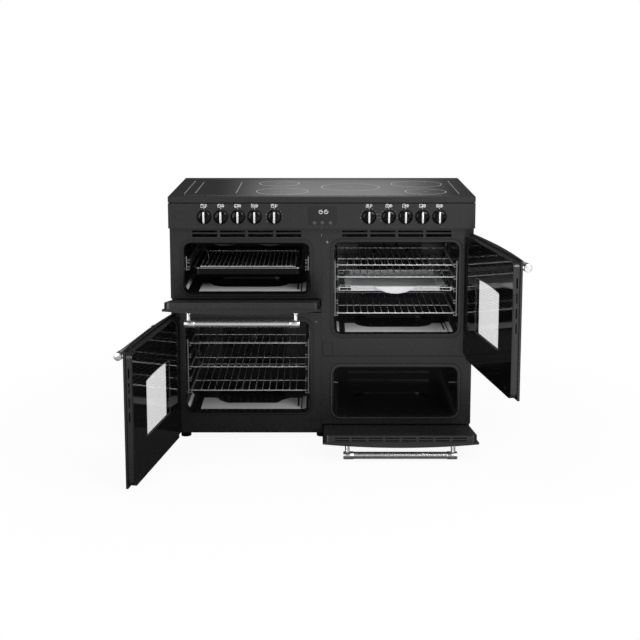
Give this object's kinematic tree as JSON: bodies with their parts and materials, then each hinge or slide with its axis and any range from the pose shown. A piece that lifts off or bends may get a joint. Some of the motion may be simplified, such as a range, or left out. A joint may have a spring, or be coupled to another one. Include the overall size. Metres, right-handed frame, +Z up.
{
  "type": "range cooker",
  "caption": "Wide free-standing electric range cooker with an induction hob, a knob fascia and ovens behind side-hinged and drop-down doors, standing open with shelves, grill pan and tray.",
  "frame": {"origin": "on the floor, midway across the cabinet, in the plane of the cabinet front behind the closed doors", "axes": "+X to the right as seen from the front, +Y from the front into the cabinet, +Z up; the doors are stored open"},
  "size_m": [1.3688, 1.0954, 0.91],
  "materials": {
    "black_enamel": "satin",
    "door_enamel": "satin",
    "liner_enamel": "gloss",
    "pan_enamel": "gloss",
    "zinc_steel": "satin",
    "rack_wire": "polished",
    "handle_steel": "satin",
    "element_steel": "satin",
    "seal_rubber": "matte",
    "black_glass": "gloss",
    "lamp_glass": "gloss",
    "coil_copper": "satin",
    "switch_plastic": "matte",
    "black_plastic": "matte",
    "tray_aluminium": "satin"
  },
  "bodies": {
    "cooker": {"side_panels": "black_enamel", "back_panel": "zinc_steel", "base_tray": "zinc_steel", "left_front": "black_enamel", "right_front": "black_enamel", "grill_liner": "liner_enamel", "main_liner": "liner_enamel", "tall_liner": "liner_enamel", "slow_liner": "liner_enamel", "door_seals": "seal_rubber", "control_fascia": "black_enamel", "display_glass": "black_glass", "hob_frame": "black_enamel", "hob_glass": "black_glass", "induction_coils": "coil_copper", "shelf_runners": "rack_wire", "heating_elements": "element_steel", "fan_covers": "liner_enamel", "fan_motors": "zinc_steel", "knob_switches": "switch_plastic", "adjustable_feet": "black_plastic", "hinge_brackets": "zinc_steel", "cable_inlet": "black_plastic", "oven_lamps": "lamp_glass"},
    "grill_door": {"grill_door_skin": "door_enamel", "grill_door_pan": "door_enamel", "grill_door_handle": "handle_steel"},
    "main_door": {"main_door_skin": "door_enamel", "main_door_frame": "door_enamel", "main_door_glass": "black_glass", "main_door_handle": "handle_steel"},
    "tall_door": {"tall_door_skin": "door_enamel", "tall_door_frame": "door_enamel", "tall_door_glass": "black_glass", "tall_door_handle": "handle_steel"},
    "slow_door": {"slow_door_skin": "door_enamel", "slow_door_pan": "door_enamel", "slow_door_handle": "handle_steel"},
    "knob_1": {"knob_1": "black_plastic"},
    "knob_2": {"knob_2": "black_plastic"},
    "knob_3": {"knob_3": "black_plastic"},
    "knob_4": {"knob_4": "black_plastic"},
    "knob_5": {"knob_5": "black_plastic"},
    "knob_6": {"knob_6": "black_plastic"},
    "knob_7": {"knob_7": "black_plastic"},
    "knob_8": {"knob_8": "black_plastic"},
    "knob_9": {"knob_9": "black_plastic"},
    "knob_10": {"knob_10": "black_plastic"},
    "main_fan": {"main_fan": "element_steel"},
    "tall_fan": {"tall_fan": "element_steel"},
    "grill_pan": {"grill_pan": "pan_enamel", "grill_trivet": "rack_wire"},
    "main_shelf_low": {"main_shelf_low": "rack_wire"},
    "main_shelf_mid": {"main_shelf_mid": "rack_wire"},
    "main_shelf_high": {"main_shelf_high": "rack_wire"},
    "tall_shelf_low": {"tall_shelf_low": "rack_wire"},
    "tall_shelf_mid": {"tall_shelf_mid": "rack_wire"},
    "tall_shelf_high": {"tall_shelf_high": "rack_wire"},
    "tray_shelf": {"tray_shelf": "rack_wire", "baking_tray": "tray_aluminium"}
  },
  "joints": [
    {"name": "grill_door_hinge", "type": "hinge", "parent": "cooker", "child": "grill_door", "pos_m": [-0.276, -0.01, 0.523], "axis": [1, 0, 0], "range_deg": [-80, 0]},
    {"name": "slow_door_hinge", "type": "hinge", "parent": "cooker", "child": "slow_door", "pos_m": [0.276, -0.01, 0.049], "axis": [1, 0, 0], "range_deg": [-80, 0]},
    {"name": "main_door_hinge", "type": "hinge", "parent": "cooker", "child": "main_door", "pos_m": [-0.5345, -0.019, 0.2445], "axis": [0, 0, -1], "range_deg": [-99.8, 0]},
    {"name": "tall_door_hinge", "type": "hinge", "parent": "cooker", "child": "tall_door", "pos_m": [0.5345, -0.019, 0.541], "axis": [0, 0, 1], "range_deg": [-99.8, 0]},
    {"name": "knob_1_turn", "type": "hinge", "parent": "cooker", "child": "knob_1", "pos_m": [-0.421, -0.04, 0.838], "axis": [0, 1, 0], "range_deg": [0, 270]},
    {"name": "knob_2_turn", "type": "hinge", "parent": "cooker", "child": "knob_2", "pos_m": [-0.3605, -0.04, 0.838], "axis": [0, 1, 0], "range_deg": [0, 270]},
    {"name": "knob_3_turn", "type": "hinge", "parent": "cooker", "child": "knob_3", "pos_m": [-0.3, -0.04, 0.838], "axis": [0, 1, 0], "range_deg": [0, 270]},
    {"name": "knob_4_turn", "type": "hinge", "parent": "cooker", "child": "knob_4", "pos_m": [-0.24, -0.04, 0.838], "axis": [0, 1, 0], "range_deg": [0, 270]},
    {"name": "knob_5_turn", "type": "hinge", "parent": "cooker", "child": "knob_5", "pos_m": [-0.1695, -0.04, 0.838], "axis": [0, 1, 0], "range_deg": [0, 270]},
    {"name": "knob_6_turn", "type": "hinge", "parent": "cooker", "child": "knob_6", "pos_m": [0.1695, -0.04, 0.838], "axis": [0, 1, 0], "range_deg": [0, 270]},
    {"name": "knob_7_turn", "type": "hinge", "parent": "cooker", "child": "knob_7", "pos_m": [0.24, -0.04, 0.838], "axis": [0, 1, 0], "range_deg": [0, 270]},
    {"name": "knob_8_turn", "type": "hinge", "parent": "cooker", "child": "knob_8", "pos_m": [0.3, -0.04, 0.838], "axis": [0, 1, 0], "range_deg": [0, 270]},
    {"name": "knob_9_turn", "type": "hinge", "parent": "cooker", "child": "knob_9", "pos_m": [0.3605, -0.04, 0.838], "axis": [0, 1, 0], "range_deg": [0, 270]},
    {"name": "knob_10_turn", "type": "hinge", "parent": "cooker", "child": "knob_10", "pos_m": [0.421, -0.04, 0.838], "axis": [0, 1, 0], "range_deg": [0, 270]},
    {"name": "main_fan_spin", "type": "hinge", "parent": "cooker", "child": "main_fan", "pos_m": [-0.2715, 0.44, 0.276], "axis": [0, 1, 0], "continuous": true},
    {"name": "tall_fan_spin", "type": "hinge", "parent": "cooker", "child": "tall_fan", "pos_m": [0.2715, 0.44, 0.57], "axis": [0, 1, 0], "continuous": true},
    {"name": "grill_pan_slide", "type": "slide", "parent": "cooker", "child": "grill_pan", "axis": [0, -1, 0], "range_m": [0, 0.24]},
    {"name": "main_shelf_low_slide", "type": "slide", "parent": "cooker", "child": "main_shelf_low", "axis": [0, -1, 0], "range_m": [0, 0.3]},
    {"name": "main_shelf_mid_slide", "type": "slide", "parent": "cooker", "child": "main_shelf_mid", "axis": [0, -1, 0], "range_m": [0, 0.3]},
    {"name": "main_shelf_high_slide", "type": "slide", "parent": "cooker", "child": "main_shelf_high", "axis": [0, -1, 0], "range_m": [0, 0.3]},
    {"name": "tall_shelf_low_slide", "type": "slide", "parent": "cooker", "child": "tall_shelf_low", "axis": [0, -1, 0], "range_m": [0, 0.3]},
    {"name": "tray_shelf_slide", "type": "slide", "parent": "cooker", "child": "tray_shelf", "axis": [0, -1, 0], "range_m": [0, 0.3]},
    {"name": "tall_shelf_mid_slide", "type": "slide", "parent": "cooker", "child": "tall_shelf_mid", "axis": [0, -1, 0], "range_m": [0, 0.3]},
    {"name": "tall_shelf_high_slide", "type": "slide", "parent": "cooker", "child": "tall_shelf_high", "axis": [0, -1, 0], "range_m": [0, 0.3]}
  ]
}
